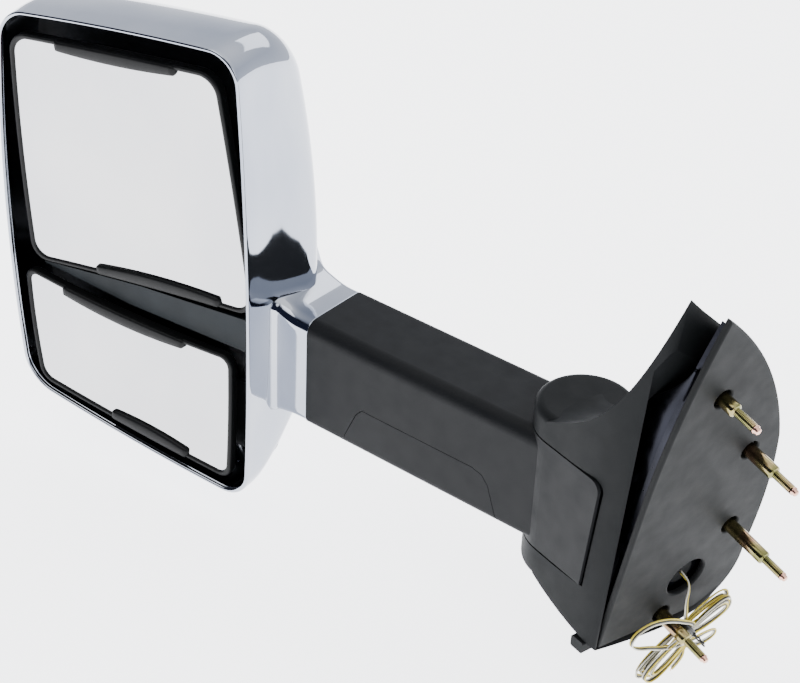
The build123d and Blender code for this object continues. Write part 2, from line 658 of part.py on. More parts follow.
def make_wiring():
    hank = Pos(0, 0, HANK_W[0]) * extrude(make_face(Spline(*HANK, periodic=True)),
                                          HANK_W[1] - HANK_W[0])
    u, v, _ = STUD_PLACES[3]
    hank = DOOR * hank - door_hole(u, v, SLEEVE_R + 0.3, 0, 60)
    band = DOOR * Pos(5, -164, 20) * Rot(0, 0, 40) * (Box(5, 26, 17) - Box(8, 22, 13.9))
    keep("wire_lead", cord_tube(LEAD_ROUTE) - hank)
    keep("wire_tail", cord_tube(TAIL_ROUTE) - hank)
    keep("wire_hank", hank - band)
    keep("wire_tie", band - door_hole(u, v, SLEEVE_R + 0.3, 0, 60))
    inner = Polyline((-70, 0, -30), (-130, 0, -30), (-210, 0, -60), (-270, 0, -60))
    inner = FilletPolyline(*inner.vertices(), radius=20)
    run = sweep(Plane(origin=inner @ 0, z_dir=inner % 0) * Circle(2.5), path=inner)
    keep("arm_harness", ARM * run - ARM * block(-97, -5, -30, 30, -110, 0))


for make in (make_gasket, make_studs, make_casting, make_grommet, make_cover, make_foot,
             make_pivot, make_cover_screws, make_barrel, make_arm_tube, make_clamp_bolts,
             make_arm_shell, make_access_cover, make_head_shell, make_collar, make_liner,
             make_divider, make_bracket, make_bracket_bolts, make_pivot_mounts, make_wiring):
    make()
for which in MIRRORS:
    make_mirror(which)

for name, shape in PARTS.items():
    shape.label = name
    export_step(shape, f"parts/{name}.step")
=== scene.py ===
from math import atan2, cos, pi, radians, sin, sqrt

import bpy
from mathutils import Matrix, Vector


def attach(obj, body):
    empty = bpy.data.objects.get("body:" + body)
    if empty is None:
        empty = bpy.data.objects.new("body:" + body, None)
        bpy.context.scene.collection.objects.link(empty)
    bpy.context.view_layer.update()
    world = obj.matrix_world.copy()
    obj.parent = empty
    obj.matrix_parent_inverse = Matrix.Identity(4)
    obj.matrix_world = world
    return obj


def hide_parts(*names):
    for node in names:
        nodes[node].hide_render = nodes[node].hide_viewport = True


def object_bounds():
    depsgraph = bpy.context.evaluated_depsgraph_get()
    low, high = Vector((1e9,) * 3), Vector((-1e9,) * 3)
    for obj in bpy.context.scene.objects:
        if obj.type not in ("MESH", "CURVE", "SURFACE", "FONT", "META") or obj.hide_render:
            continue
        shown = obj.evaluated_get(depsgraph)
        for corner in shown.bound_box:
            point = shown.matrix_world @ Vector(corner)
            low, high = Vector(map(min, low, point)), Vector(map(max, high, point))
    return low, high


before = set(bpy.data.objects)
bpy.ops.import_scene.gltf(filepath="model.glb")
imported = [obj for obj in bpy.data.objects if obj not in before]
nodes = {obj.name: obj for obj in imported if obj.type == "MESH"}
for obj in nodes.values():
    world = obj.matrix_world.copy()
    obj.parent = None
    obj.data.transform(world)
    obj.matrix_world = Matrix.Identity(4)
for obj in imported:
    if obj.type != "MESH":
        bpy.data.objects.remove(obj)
cad_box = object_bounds()
MM = 0.001


# ---- frames, the same as the CAD's, in millimetres ----
def turn(angle, axis):
    return Matrix.Rotation(radians(angle), 4, axis)


def move(x, y, z):
    return Matrix.Translation((x, y, z))


PIVOT = move(-101.5, -45, 0)
ARM = PIVOT @ turn(15, "Z")
HEAD = ARM @ move(-291.5, -67.6, 0) @ turn(6, "Z")
UPPER = HEAD @ move(-137, 12.5, 88) @ turn(2, "Z") @ turn(2.5, "X")
LOWER = HEAD @ move(-145, 9, -106) @ turn(1, "Z") @ turn(-3, "X")
TIP = radians(10)
DOOR = Matrix(((0, sin(TIP), cos(TIP), 0), (1, 0, 0, 0), (0, cos(TIP), -sin(TIP), 0), (0, 0, 0, 1)))


def placed(frame_matrix, point):
    """A point in millimetres in one of the frames, as metres in the row frame."""
    return (frame_matrix @ Vector(point)) * MM


# ---- camera ----
cam_data = bpy.data.cameras.new("camera")
cam_data.sensor_width = 36.0
cam_data.lens = 86.7
cam_data.clip_start, cam_data.clip_end = 0.05, 60.0
camera = bpy.data.objects.new("camera", cam_data)
bpy.context.scene.collection.objects.link(camera)
CAM_FORWARD = Vector((-0.658, 0.508, -0.555)).normalized()
CAM_RIGHT = Vector((0.5903, 0.8062, 0.0380))
CAM_RIGHT = (CAM_RIGHT - CAM_FORWARD * CAM_RIGHT.dot(CAM_FORWARD)).normalized()
CAM_UP = CAM_RIGHT.cross(CAM_FORWARD)
basis = Matrix((CAM_RIGHT, CAM_UP, -CAM_FORWARD)).transposed().to_4x4()
camera.matrix_world = Matrix.Translation((0.7694, -0.9018, 0.8806)) @ basis
bpy.context.scene.camera = camera


# ---- material helpers ----
def new_material(name):
    mat = bpy.data.materials.new(name)
    mat.use_nodes = True
    return mat, mat.node_tree, mat.node_tree.nodes["Principled BSDF"]


def ramp_node(tree, source, stops):
    ramp = tree.nodes.new("ShaderNodeValToRGB")
    while len(ramp.color_ramp.elements) < len(stops):
        ramp.color_ramp.elements.new(0.5)
    for element, (place, colour) in zip(ramp.color_ramp.elements, stops):
        element.position = place
        element.color = (*colour, 1.0)
    tree.links.new(source, ramp.inputs[0])
    return ramp.outputs[0]


def noise_node(tree, scale, detail=3.0, stretch=None):
    coords = tree.nodes.new("ShaderNodeTexCoord")
    noise = tree.nodes.new("ShaderNodeTexNoise")
    noise.inputs["Scale"].default_value = scale
    noise.inputs["Detail"].default_value = detail
    source = coords.outputs["Object"]
    if stretch:
        mapping = tree.nodes.new("ShaderNodeMapping")
        mapping.inputs["Scale"].default_value = stretch
        tree.links.new(source, mapping.inputs[0])
        source = mapping.outputs[0]
    tree.links.new(source, noise.inputs["Vector"])
    return noise.outputs["Fac"]


def spread(tree, source, low, high, old=(0.3, 0.7)):
    node = tree.nodes.new("ShaderNodeMapRange")
    node.inputs["From Min"].default_value, node.inputs["From Max"].default_value = old
    node.inputs["To Min"].default_value, node.inputs["To Max"].default_value = low, high
    tree.links.new(source, node.inputs["Value"])
    return node.outputs["Result"]


def bumped(tree, shader, source, strength, distance=0.0002):
    bump = tree.nodes.new("ShaderNodeBump")
    bump.inputs["Strength"].default_value = strength
    bump.inputs["Distance"].default_value = distance
    tree.links.new(source, bump.inputs["Height"])
    tree.links.new(bump.outputs["Normal"], shader.inputs["Normal"])


def plastic(name, dark, light, rough, grain, grain_scale=1400.0, cloud=9.0, specular=0.5):
    """Moulded plastic or rubber: cloudy colour, uneven gloss and a fine moulded grain."""
    mat, tree, shader = new_material(name)
    clouds = noise_node(tree, cloud, 4.0)
    colour = ramp_node(tree, clouds, ((0.3, dark), (0.7, light)))
    tree.links.new(colour, shader.inputs["Base Color"])
    patches = noise_node(tree, 60.0, 5.0)
    tree.links.new(spread(tree, patches, rough - 0.05, rough + 0.06), shader.inputs["Roughness"])
    shader.inputs["Specular IOR Level"].default_value = specular
    bumped(tree, shader, noise_node(tree, grain_scale, 2.0), grain)
    return mat


def metal(name, dark, light, rough, scale=25.0, grain=0.0, stretch=None):
    """Metal or plating: cloudy tint, uneven polish and, for a cast surface, a grain."""
    mat, tree, shader = new_material(name)
    shader.inputs["Metallic"].default_value = 1.0
    clouds = noise_node(tree, scale, 4.0, stretch)
    colour = ramp_node(tree, clouds, ((0.3, dark), (0.7, light)))
    tree.links.new(colour, shader.inputs["Base Color"])
    patches = noise_node(tree, scale * 4, 4.0)
    tree.links.new(spread(tree, patches, rough * 0.8, rough * 1.25), shader.inputs["Roughness"])
    if grain:
        bumped(tree, shader, noise_node(tree, 700.0, 3.0), grain)
    return mat


def yellow_zinc(name):
    """Passivated zinc: gold that drifts to green and pink in bands along the stud."""
    mat, tree, shader = new_material(name)
    shader.inputs["Metallic"].default_value = 1.0
    drift = noise_node(tree, 48.0, 3.0)
    stops = ((0.25, (0.045, 0.065, 0.02)), (0.42, (0.19, 0.18, 0.07)), (0.55, (0.32, 0.26, 0.12)),
             (0.66, (0.28, 0.17, 0.11)), (0.80, (0.07, 0.09, 0.03)))
    tree.links.new(ramp_node(tree, drift, stops), shader.inputs["Base Color"])
    patches = noise_node(tree, 160.0, 3.0)
    tree.links.new(spread(tree, patches, 0.12, 0.22), shader.inputs["Roughness"])
    bumped(tree, shader, noise_node(tree, 900.0, 2.0), 0.05)
    return mat


CHROME = metal("chrome", (0.29, 0.315, 0.37), (0.43, 0.445, 0.485), 0.07, scale=8.0,
               stretch=(1.0, 1.0, 0.45))
GLASS = metal("mirror_glass", (0.47, 0.475, 0.50), (0.60, 0.595, 0.59), 0.012, scale=4.0)
ARM_BLACK = plastic("arm_black", (0.0060, 0.0066, 0.0076), (0.0088, 0.0094, 0.0104), 0.48, 0.30,
                    specular=0.10)
BASE_GREY = plastic("base_grey", (0.0068, 0.0076, 0.0082), (0.0095, 0.0104, 0.0110), 0.54, 0.35,
                    specular=0.08)
RUBBER = plastic("gasket_rubber", (0.0068, 0.0074, 0.0077), (0.0100, 0.0107, 0.0110), 0.56, 0.25,
                 900.0, 14.0, 0.08)
LINER = plastic("liner_black", (0.006, 0.0065, 0.0075), (0.010, 0.0105, 0.012), 0.50, 0.2)
FRAME_BLACK = plastic("frame_black", (0.0030, 0.0032, 0.0035), (0.0055, 0.0057, 0.0060), 0.40, 0.15,
                      specular=0.14)
SLATE = plastic("divider_slate", (0.0060, 0.0080, 0.0095), (0.0135, 0.0170, 0.0200), 0.42, 0.12,
                cloud=18.0, specular=0.10)
CARRIER = plastic("carrier_plastic", (0.030, 0.030, 0.034), (0.045, 0.045, 0.050), 0.5, 0.2)
ACETAL = plastic("acetal_white", (0.55, 0.55, 0.52), (0.66, 0.66, 0.63), 0.35, 0.1)
AMBER = plastic("heater_film", (0.30, 0.16, 0.05), (0.40, 0.23, 0.08), 0.3, 0.1)
CASTING = metal("casting_dark", (0.010, 0.0105, 0.0135), (0.022, 0.0230, 0.0300), 0.34, scale=30.0,
                grain=0.5)
ALLOY = metal("alloy", (0.42, 0.43, 0.45), (0.58, 0.59, 0.61), 0.42, grain=0.3)
STEEL = metal("bolt_steel", (0.46, 0.46, 0.46), (0.60, 0.60, 0.60), 0.30, grain=0.15)
ZINC = yellow_zinc("yellow_zinc")
ZINC_PINK = metal("zinc_pink", (0.62, 0.34, 0.24), (0.80, 0.48, 0.38), 0.2, scale=120.0)
TIE = plastic("tie_black", (0.010, 0.010, 0.010), (0.020, 0.020, 0.020), 0.35, 0.2)
WIRE_YELLOW = plastic("wire_yellow", (0.48, 0.37, 0.03), (0.64, 0.52, 0.07), 0.38, 0.1, 500.0, 90.0)
WIRE_WHITE = plastic("wire_white", (0.50, 0.48, 0.38), (0.68, 0.66, 0.54), 0.38, 0.1, 500.0, 90.0)
WIRE_BLACK = plastic("wire_black", (0.012, 0.012, 0.012), (0.03, 0.03, 0.03), 0.38, 0.1,
                     500.0, 90.0)
COPPER = metal("copper", (0.72, 0.40, 0.28), (0.85, 0.52, 0.38), 0.3, scale=200.0)

CAD_LOOKS = {
    CHROME: ("neck_collar", "head_shell"),
    GLASS: ("upper_glass", "lower_glass"),
    ARM_BLACK: ("arm_shell", "arm_access_cover"),
    BASE_GREY: ("base_cover", "foot_clip"),
    RUBBER: ("base_gasket", "wire_grommet"),
    LINER: ("head_liner",),
    FRAME_BLACK: ("upper_mirror_frame", "lower_mirror_frame"),
    SLATE: ("divider_panel",),
    CARRIER: ("upper_carrier", "lower_carrier", "upper_mirror_actuator", "lower_mirror_stalk"),
    ACETAL: ("upper_gimbal", "lower_gimbal", "detent_ring"),
    AMBER: ("upper_heater_pad", "lower_heater_pad"),
    CASTING: ("base_casting",),
    ALLOY: ("hinge_barrel", "arm_tube", "head_bracket"),
    STEEL: ("pivot_bolt", "pivot_washer", "spring_washers", "pivot_nut", "cover_screws",
            "tube_clamp_bolts", "bracket_bolts"),
    ZINC: ("door_stud_1", "door_stud_2", "door_stud_3", "door_stud_4"),
    TIE: ("arm_harness", "wire_tie"),
}
for material, names in CAD_LOOKS.items():
    for name in names:
        slots = nodes[name].data.materials
        if not slots:
            slots.append(material)
        for index in range(len(slots)):
            slots[index] = material


# ---- mesh helpers ----
def piece(name, verts, faces, materials, body, replaces=(), indices=None):
    """A smooth-shaded mesh that rides on a body; indices gives each face its material."""
    mesh = bpy.data.meshes.new(name)
    mesh.from_pydata([tuple(v) for v in verts], [], faces)
    mesh.validate()
    for material in materials:
        mesh.materials.append(material)
    for i, polygon in enumerate(mesh.polygons):
        polygon.use_smooth = True
        if indices:
            polygon.material_index = indices[i]
    obj = bpy.data.objects.new(name, mesh)
    bpy.context.scene.collection.objects.link(obj)
    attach(obj, body)
    if replaces:
        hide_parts(*replaces)
    return obj


def rings_to_faces(count, size, cap_first=False, cap_last=False):
    """Quads between neighbouring closed rings of size points each."""
    faces = []
    for r in range(count - 1):
        for i in range(size):
            j = (i + 1) % size
            a = r * size
            faces.append((a + i, a + j, a + size + j, a + size + i))
    if cap_first:
        faces.append(tuple(reversed(range(size))))
    if cap_last:
        faces.append(tuple((count - 1) * size + i for i in range(size)))
    return faces


def ring_mesh(rings, cap_first=False, cap_last=False):
    verts = [v for ring in rings for v in ring]
    return verts, rings_to_faces(len(rings), len(rings[0]), cap_first, cap_last)


def add_mesh(verts, faces, more):
    """Put a second mesh's points and faces after the first's."""
    more_verts, more_faces = more
    faces += [tuple(len(verts) + q for q in face) for face in more_faces]
    verts += more_verts


def tube_mesh(path, radius, side_points=8, offset=None):
    """Rings round a path, each at right angles to it; offset(i, side, up) moves a ring's centre."""
    verts, side = [], None
    for i, point in enumerate(path):
        along = (path[min(i + 1, len(path) - 1)] - path[max(i - 1, 0)]).normalized()
        if side is None:
            side = along.orthogonal().normalized()
        side = (side - along * side.dot(along)).normalized()
        up = along.cross(side)
        centre = point + (offset(i, side, up) if offset else Vector())
        for k in range(side_points):
            a = 2 * pi * k / side_points
            verts.append(centre + side * radius * cos(a) + up * radius * sin(a))
    return verts, rings_to_faces(len(path), side_points, True, True)


# ---- outlines with rounded corners ----
SIDE_STEPS, CORNER_STEPS = 20, 10
ARC_WEIGHT = 0.7071


def drawn_in(corners, insets):
    """Four-sided outline with each side moved inwards by its own distance."""
    moved = []
    for i, corner in enumerate(corners):
        here, before, after = Vector(corner), Vector(corners[i - 1]), Vector(corners[(i + 1) % 4])
        one = Vector((before.y - here.y, here.x - before.x)).normalized()
        two = Vector((here.y - after.y, after.x - here.x)).normalized()
        a, b = insets[i - 1], insets[i]
        shift = Vector((a * two.y - b * one.y, b * one.x - a * two.x))
        moved.append(here + shift / (one.x * two.y - one.y * two.x))
    return moved


def rounded_outline(corners, bows, insets, radii):
    """Points round four bowed sides and four round corners, always the same number of them."""
    spots = drawn_in(corners, insets)
    sides = []
    for i, a in enumerate(spots):
        run = spots[(i + 1) % 4] - a
        out = Vector((run.y, -run.x)).normalized()
        first, last = radii[i] / run.length, 1 - radii[(i + 1) % 4] / run.length
        places = [first + (last - first) * n / SIDE_STEPS for n in range(SIDE_STEPS + 1)]
        sides.append([a + run * t + out * 4 * bows[i] * t * (1 - t) for t in places])
    points = []
    for i, side in enumerate(sides):
        points += side
        following = sides[(i + 1) % 4]
        p, q = side[-1], following[0]
        u, v = (p - side[-2]).normalized(), (following[1] - q).normalized()
        gap = q - p
        cross = u.x * v.y - u.y * v.x
        corner = p + u * (gap.x * v.y - gap.y * v.x) / cross
        for n in range(1, CORNER_STEPS):
            t = n / CORNER_STEPS
            wa, wb, wc = (1 - t) ** 2, 2 * ARC_WEIGHT * t * (1 - t), t * t
            points.append((p * wa + corner * wb + q * wc) / (wa + wb + wc))
    return points


def eased(stations, place):
    """Smooth values between stations, each given as (place, value, value ...)."""
    last = len(stations) - 1
    k = min(max(sum(1 for s in stations if s[0] <= place) - 1, 0), last - 1)
    p0, p1 = stations[k], stations[k + 1]
    before, after = stations[max(k - 1, 0)], stations[min(k + 2, last)]
    span = p1[0] - p0[0]
    t = (place - p0[0]) / span
    values = []
    for n in range(1, len(p0)):
        slope_0 = (p1[n] - before[n]) / (p1[0] - before[0]) * span
        slope_1 = (after[n] - p0[n]) / (after[0] - p0[0]) * span
        values.append(p0[n] * (2 * t**3 - 3 * t**2 + 1) + slope_0 * (t**3 - 2 * t**2 + t)
                      + p1[n] * (3 * t**2 - 2 * t**3) + slope_1 * (t**3 - t**2))
    return values


# ---- head shell: chromed, with a rolled lip and a groove inside it ----
HEAD_CORNERS = ((-10, 240), (-256, 212), (-256, -160), (-4, -192))
HEAD_DEPTH = 100
SIDE_BOWS = (3, 10.5, 4)
# depth, how far top, outboard, bottom and inboard sides draw in, inboard bow, corner radius
HEAD_STATIONS = ((0, 0, 0, 0, 0, 7, 27), (26, -2, -2, 0, -0.5, 8, 27), (54, 0, 0, 12, 0, 17, 29),
                 (76, 7, 7, 26, 4, 26, 32), (91, 18, 18, 42, 14, 24, 36),
                 (HEAD_DEPTH, 36, 36, 60, 33, 18, 42))


def head_ring(depth, inset):
    top, out, bottom, inboard, bow, radius = eased(HEAD_STATIONS, depth)
    insets = (top + inset, out + inset, bottom + inset, inboard + inset)
    round_off = radius - 0.6 * inset
    foot_round = round_off + 55 * (depth / 90) ** 2
    radii = (round_off, round_off, round_off, foot_round)
    return rounded_outline(HEAD_CORNERS, (*SIDE_BOWS, bow), insets, radii)


back_outline = head_ring(HEAD_DEPTH, 0)
middle = sum(back_outline, Vector((0, 0))) / len(back_outline)
head_rings = []
for shrink, rise in ((0.02, 101.5), (0.3, 101.45), (0.55, 101.3), (0.75, 101.1), (0.88, 100.8),
                     (0.96, 100.4)):
    head_rings.append([(middle.x + (p.x - middle.x) * shrink, rise,
                        middle.y + (p.y - middle.y) * shrink) for p in back_outline])
for depth in (100, 99, 98, 96.5, 95, 93, 91, 88, 85, 81, 76, 71, 65, 58, 50, 41, 32, 23, 15, 8, 4,
              1.6):
    head_rings.append([(p.x, depth, p.y) for p in head_ring(depth, 0)])
for angle in (20, 45, 70, 90, 110, 135, 160, 180):
    a = radians(angle)
    head_rings.append([(p.x, 1.6 - 1.6 * sin(a), p.y) for p in head_ring(0, 1.5 - 1.5 * cos(a))])
for depth, inset in ((2.4, 2.9), (2.9, 2.4), (3.6, 2.35), (4.2, 2.9), (5.0, 3.1), (9, 3.1),
                     (16, 3.1), (26, 3.1), (38, 3.1), (50, 3.1), (54, 3.2)):
    head_rings.append([(p.x, depth, p.y) for p in head_ring(depth, inset)])
verts, faces = ring_mesh([[placed(HEAD, p) for p in ring] for ring in head_rings], cap_first=True)
piece("head_shell_skin", verts, faces, [CHROME], "arm", ("head_shell",))

# ---- neck and collar ----
# place, rise of top, drop of bottom, rear face, front face, rear top radius
NECK_STATIONS = ((-334, 62, 24, -30, 16, 24), (-320, 62, 26, -34, 23, 23),
                 (-311, 60, 25, -37, 28, 22), (-305, 42, 19, -38, 31, 18),
                 (-301, 26, 13, -38.6, 33, 15), (-297, 13.5, 8, -39.2, 34.2, 13),
                 (-293.5, 9, 5.6, -39.4, 35, 12), (-290, 6.6, 4.2, -38.4, 35.5, 11),
                 (-287, 5.2, 3.2, -36.4, 35.8, 11), (-279, 2.4, 1.6, -36.1, 36, 11.5),
                 (-271, 0.6, 0.4, -36, 36, 12), (-263, 0, 0, -36, 36, 12),
                 (-254.4, 0, 0, -36, 36, 12))
TO_HEAD = HEAD.inverted() @ ARM
LINER_DEPTH = 56
WALL_MARGIN = 1.5


def kept_in_wall(spot):
    """Hold the neck's inner end inside the head's inboard wall, clear of the mirrors."""
    if spot.y < LINER_DEPTH:
        _, _, _, inboard, bow, _ = eased(HEAD_STATIONS, max(spot.y, 0))
        (top_s, top_z), (foot_s, foot_z) = HEAD_CORNERS[0], HEAD_CORNERS[3]
        t = min(max((spot.z - foot_z) / (top_z - foot_z), 0), 1)
        wall = foot_s + (top_s - foot_s) * t + 4 * bow * t * (1 - t)
        spot.x = max(spot.x, wall - WALL_MARGIN - inboard)
    return spot


def neck_ring(x, shrink=0.0):
    rise, drop, rear, front, radius = eased(NECK_STATIONS, x)
    top, bottom = rise - shrink, -102 - drop + shrink
    front, rear = front - shrink, rear + shrink
    corners = ((front, top), (rear, top), (rear, bottom), (front, bottom))
    points = rounded_outline(corners, (0.3, 0.2, 0.3, 0.2), (0,) * 4, (7, radius, 7.5, 7))
    return [placed(HEAD, kept_in_wall(TO_HEAD @ Vector((x, p.x, p.y)))) for p in points]


neck_places = (-254.7, -255.2, -258, -263, -268, -273, -278, -283, -286.4, -287.2, -288.2, -289.2,
               -290.4, -292, -294, -296, -298, -299.5, -301, -303, -305, -308, -311, -315, -320,
               -327, -334)
neck_rings = [neck_ring(x, shrink)
              for x, shrink in ((-256, 2.6), (-254.6, 2.4), (-254.4, 0.9), (-254.4, 0.35))]
neck_rings += [neck_ring(x) for x in neck_places]
verts, faces = ring_mesh(neck_rings)
piece("neck_skin", verts, faces, [CHROME], "arm", ("neck_collar",))

# ---- mirror frames: moulded lip with the two long glass-retaining tabs ----
# place, centre, corners of the outline, bow of each side, corner radius
MIRROR_SHAPES = {
    "upper": (UPPER, (-137, 88), ((-36, 213), (-249, 193), (-250, -33), (-8, -9)),
              (1, 3, -2.5, 1.5), 18),
    "lower": (LOWER, (-145, -106), ((-27, -53), (-257, -41), (-242, -155), (-26, -181)),
              (-5, 2, 2, 1), 12),
}
# inset from the frame's outline, and depth: over the outer side, round the lip, down to the glass
LIP_PATH = ((2.6, 7.6), (1.0, 7.4), (0.2, 6.6), (0.0, 5.4), (0.0, 2.0), (0.0, 0.2), (0.25, -0.8),
            (0.9, -1.5), (1.8, -1.8), (3.0, -1.75), (3.9, -1.35), (4.5, -0.7), (4.75, 0.0),
            (4.85, 0.35))


def mirror_ring(which, inset, depth):
    place, centre, outline, bows, radius = MIRROR_SHAPES[which]
    centred = [(s - centre[0], z - centre[1]) for s, z in outline]
    points = rounded_outline(centred, bows, (inset,) * 4, (radius - 0.6 * inset,) * 4)
    return [placed(place, (p.x, depth, p.y)) for p in points]


# inset from the lip's outer edge, and depth
TAB_SECTION = ((0.4, 0.3), (0.1, -0.6), (0.5, -2.2), (1.3, -3.4), (2.6, -3.9), (5.4, -3.95),
               (7.6, -3.7), (8.7, -2.9), (9.2, -1.6), (9.3, 0.25))
TAB_MIDDLE, TAB_END, TAB_BELLY = 4.7, 4.0, 3.2
TAB_STEPS = 40
# half length and centre of each tab along its lip, counted outboard from the middle
TABS = {("upper", True): (63.0, -4.0), ("upper", False): (68.0, -20.0),
        ("lower", True): (69.0, 3.0), ("lower", False): (44.0, -18.0)}


def tab_mesh(which, top):
    """Raised strip along the top or bottom lip, its ends rounded off."""
    place, centre, outline, bows, _ = MIRROR_SHAPES[which]
    one, two = (outline[0], outline[1]) if top else (outline[3], outline[2])
    bow = bows[0] if top else bows[2]
    a = Vector((one[0] - centre[0], one[1] - centre[1]))
    b = Vector((two[0] - centre[0], two[1] - centre[1]))
    run = (b - a).normalized()
    inward = Vector((-run.y, run.x)) if top else Vector((run.y, -run.x))
    length = (b - a).length
    half, centre_at = TABS[which, top]
    rings = []
    for n in range(TAB_STEPS + 1):
        t = n / TAB_STEPS
        along = half * (2 * t - 1)
        near_end = min(t, 1 - t) * 2 * half
        shape = sqrt(1 - max(0.0, 1 - near_end / TAB_END) ** 2)
        u = 0.5 + (along + centre_at) / length
        spot = a + (b - a) * u - inward * 4 * bow * u * (1 - u)
        ring = []
        belly = TAB_BELLY * (1 - (2 * t - 1) ** 2)
        for inset, depth in TAB_SECTION:
            across = TAB_MIDDLE + (inset - TAB_MIDDLE) * (0.35 + 0.65 * shape)
            across += belly * max(0.0, inset - 2.6) / 6.7
            p = spot + inward * across
            ring.append(placed(place, (p.x, depth * (0.15 + 0.85 * shape), p.y)))
        rings.append(ring)
    return ring_mesh(rings, True, True)


for which in MIRROR_SHAPES:
    verts, faces = ring_mesh([mirror_ring(which, inset, depth) for inset, depth in LIP_PATH])
    for top in (True, False):
        add_mesh(verts, faces, tab_mesh(which, top))
    piece(f"{which}_frame_skin", verts, faces, [FRAME_BLACK], f"{which}_mirror",
          (f"{which}_mirror_frame",))


# ---- studs: turned sleeve, flange, rolled thread and pointed end ----
STUDS = ((-24, 88, 38), (31, 10, 52), (41, -79, 65), (-8, -160, 56))
THREAD_PITCH, THREADED_END = 1.25, 24
LATHE_SIDES = 36
POINT_RINGS = 7     # rings of the profile's last part, the pinkish point of the stud


def lathe(profile, place):
    """Rings of a turned part from its profile of (radius, height)."""
    angles = [2 * pi * k / LATHE_SIDES for k in range(LATHE_SIDES)]
    rings = [[placed(place, (r * cos(a), r * sin(a), w)) for a in angles] for r, w in profile]
    return ring_mesh(rings, cap_first=True, cap_last=True)


for number, (u, v, reach) in enumerate(STUDS, start=1):
    shoulder = reach - THREADED_END
    profile = [(6.5, -18.4), (6.8, -18.1), (6.8, -15.3), (6.5, -15.0), (5.8, -14.9), (5.8, 0.5),
               (5.8, shoulder * 0.3), (5.8, shoulder - 1.6), (5.5, shoulder - 0.8),
               (4.8, shoulder - 0.15), (3.7, shoulder)]
    at = shoulder + 0.8
    while at < reach - 6.5:
        profile += [(3.25, at), (3.62, at + 0.45 * THREAD_PITCH),
                    (3.62, at + 0.6 * THREAD_PITCH)]
        at += THREAD_PITCH
    profile += [(3.2, reach - 5.2), (3.6, reach - 4.6), (3.6, reach - 3.2), (2.75, reach - 2.5),
                (2.7, reach - 1.2), (2.45, reach - 0.5), (1.7, reach - 0.05), (0.6, reach)]
    verts, faces = lathe(profile, DOOR @ move(u, v, 0))
    tip_from = (len(profile) - POINT_RINGS) * LATHE_SIDES
    indices = [1 if min(face) >= tip_from else 0 for face in faces]
    piece(f"stud_{number}_turned", verts, faces, [ZINC, ZINC_PINK], "base",
          (f"door_stud_{number}",), indices)


# ---- black twist tie round the hank, its ends wound together ----
TIE_PLACE = DOOR @ move(5, -164, 20) @ turn(40, "Z")
TIE_STEPS = 48
TAIL_RADIUS = 0.0008
# across and outward: a flat band with a wire down its middle
BAND_SECTION = ((-2.1, 0), (-1.6, 0.35), (-0.5, 0.4), (0.0, 0.75), (0.5, 0.4), (1.6, 0.35),
                (2.1, 0), (1.6, -0.3), (0, -0.35), (-1.6, -0.3))
loop = []
for n in range(TIE_STEPS):
    a = 2 * pi * n / TIE_STEPS
    loop.append((0.8 * sin(2 * a), 12.0 * cos(a) * (1 - 0.10 * cos(a) ** 2), 7.4 * sin(a)))
rings = []
for n, (x, y, z) in enumerate(loop):
    before, after = Vector(loop[n - 1]), Vector(loop[(n + 1) % TIE_STEPS])
    along = (after - before).normalized()
    out = Vector((0, y, z)).normalized()
    wide = along.cross(out).normalized()
    ring = [Vector((x, y, z)) + wide * a + out * b for a, b in BAND_SECTION]
    rings.append([placed(TIE_PLACE, p) for p in ring])
rings.append(rings[0])
verts, faces = ring_mesh(rings)
for way in (-1, 1):
    tail = []
    for n in range(25):
        t = n / 24
        a = 7.0 * t + (0 if way > 0 else pi)
        tail.append((1.1 * cos(a) * (1 - 0.2 * t), 2.0 * t * way * t + 1.1 * sin(a),
                     7.4 + 13.0 * t))
    add_mesh(verts, faces, tube_mesh([placed(TIE_PLACE, p) for p in tail], TAIL_RADIUS))
piece("tie_band", verts, faces, [TIE], "base", ("wire_tie",))

# ---- softened edges on the moulded and cast parts ----
EDGES = {"arm_shell": 0.5, "arm_access_cover": 0.5, "base_cover": 0.7, "foot_clip": 0.6,
         "divider_panel": 1.0, "base_casting": 0.8, "head_liner": 0.4, "head_bracket": 0.6,
         "upper_mirror_actuator": 0.6, "lower_mirror_stalk": 0.4, "pivot_bolt": 0.4,
         "hinge_barrel": 0.5}
for name, width in EDGES.items():
    bevel = nodes[name].modifiers.new("soft_edges", "BEVEL")
    bevel.width = width * MM
    bevel.segments = 2
    bevel.limit_method = "ANGLE"
    bevel.angle_limit = radians(40)
    bevel.harden_normals = False

# ---- stiffening flanges of the casting, along its front and rear edges ----
FLANGE_ROOT = -12.5
FLANGE = ((-34, 150), (-10, 124), (13, 86), (33, 46), (50, 13), (59, -22), (61, -60), (60, -95),
          (59, -122), (50, -150))
FLANGE_SECTION = ((-1.1, FLANGE_ROOT), (1.1, FLANGE_ROOT), (1.3, -20), (1.1, -31), (0.6, -32),
                  (-0.6, -32), (-1.1, -31), (-1.3, -20))


def smooth_line(points, steps):
    """Catmull-Rom points through a list of flat points."""
    spots = [Vector(p) for p in points]
    line_points = []
    for k in range(len(spots) - 1):
        p1, p2 = spots[k], spots[k + 1]
        p0, p3 = spots[max(k - 1, 0)], spots[min(k + 2, len(spots) - 1)]
        for n in range(steps):
            t = n / steps
            square, cube = 2 * p0 - 5 * p1 + 4 * p2 - p3, 3 * p1 - p0 - 3 * p2 + p3
            line_points.append(0.5 * (2 * p1 + (p2 - p0) * t + square * t * t + cube * t ** 3))
    line_points.append(spots[-1])
    return line_points


